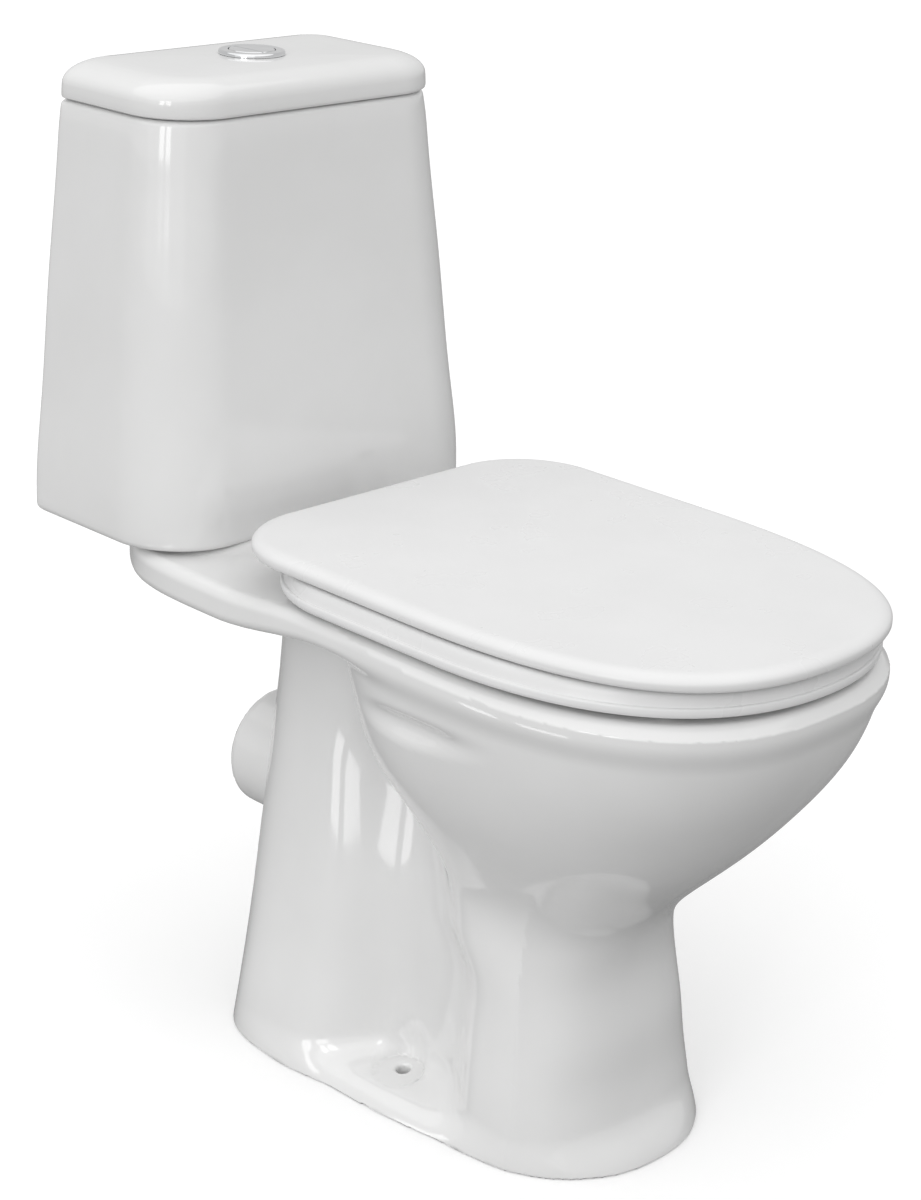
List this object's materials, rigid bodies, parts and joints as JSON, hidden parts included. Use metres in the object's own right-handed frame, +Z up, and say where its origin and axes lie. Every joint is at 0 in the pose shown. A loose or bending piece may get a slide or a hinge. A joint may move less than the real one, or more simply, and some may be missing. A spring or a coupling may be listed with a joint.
{
  "type": "close coupled toilet",
  "caption": "Close coupled floor-standing toilet: ceramic pan with side scoops and horizontal outlet, tapered cistern with dual push button, hinged seat ring and cover.",
  "frame": {"origin": "floor level, centre of the bounding box in plan", "axes": "+Z up, the toilet faces -Y with its cistern at +Y, +X to the right seen from the front; X = 0 is the plane of symmetry of the ceramics and the seat"},
  "size_m": [0.343, 0.665, 0.767],
  "materials": {
    "vitreous_china": "gloss",
    "seat_plastic": "gloss",
    "chrome": "polished",
    "valve_plastic": "satin",
    "overflow_plastic": "satin",
    "rubber": "matte",
    "buffer_rubber": "matte",
    "brass": "satin",
    "stainless": "satin"
  },
  "bodies": {
    "toilet": {"pan": "vitreous_china", "coupling_gasket": "rubber", "cistern_body": "vitreous_china", "cistern_pads": "rubber", "cistern_bolts": "brass", "bolt_cone_washers": "rubber", "bolt_washers": "stainless", "bolt_wing_nuts": "brass", "flush_valve_base": "valve_plastic", "flush_valve_washer": "rubber", "flush_valve_nut": "valve_plastic", "flush_valve_cage": "valve_plastic", "fill_valve_body": "valve_plastic", "fill_valve_spout": "valve_plastic", "fill_valve_washers": "rubber", "fill_valve_nut": "valve_plastic", "float_pin": "brass", "hinge_posts": "seat_plastic", "hinge_pins": "stainless", "hinge_bolts": "stainless", "hinge_washers": "rubber", "hinge_wing_nuts": "valve_plastic"},
    "lid": {"cistern_lid": "vitreous_china", "button_bezel": "chrome", "bezel_nut": "valve_plastic"},
    "full_button": {"full_flush_button": "chrome", "full_flush_rod": "valve_plastic"},
    "half_button": {"half_flush_button": "chrome", "half_flush_rod": "valve_plastic"},
    "valve": {"overflow_tube": "overflow_plastic", "valve_seal": "rubber"},
    "float": {"float_arm": "valve_plastic", "float_adjuster": "overflow_plastic", "float_cup": "valve_plastic"},
    "cover": {"seat_cover": "seat_plastic", "cover_buffers": "buffer_rubber"},
    "ring": {"seat_ring": "seat_plastic", "ring_buffers": "buffer_rubber"}
  },
  "joints": [
    {"name": "cover_hinge", "type": "hinge", "parent": "toilet", "child": "cover", "pos_m": [0, 0.1045, 0.435], "axis": [-1, 0, 0], "range_deg": [0, 100]},
    {"name": "ring_hinge", "type": "hinge", "parent": "toilet", "child": "ring", "pos_m": [0, 0.1045, 0.435], "axis": [-1, 0, 0], "range_deg": [0, 97]},
    {"name": "lid_lift", "type": "slide", "parent": "toilet", "child": "lid", "axis": [0, 0, 1], "range_m": [0, 0.15]},
    {"name": "full_flush_press", "type": "slide", "parent": "lid", "child": "full_button", "axis": [0, 0, -1], "range_m": [0, 0.007], "stiffness_N_per_m": 400, "springref_m": -0.004},
    {"name": "half_flush_press", "type": "slide", "parent": "lid", "child": "half_button", "axis": [0, 0, -1], "range_m": [0, 0.007], "stiffness_N_per_m": 400, "springref_m": -0.004},
    {"name": "valve_lift", "type": "slide", "parent": "toilet", "child": "valve", "axis": [0, 0, 1], "range_m": [0, 0.024]},
    {"name": "float_swing", "type": "hinge", "parent": "toilet", "child": "float", "pos_m": [0.104, 0.2725, 0.67], "axis": [0, 1, 0], "range_deg": [0, 15]}
  ],
  "couplings": [
    {"joint": "ring_hinge", "follows": "cover_hinge", "ratio": 0.97},
    {"joint": "valve_lift", "follows": "full_flush_press", "ratio": 3.4}
  ]
}
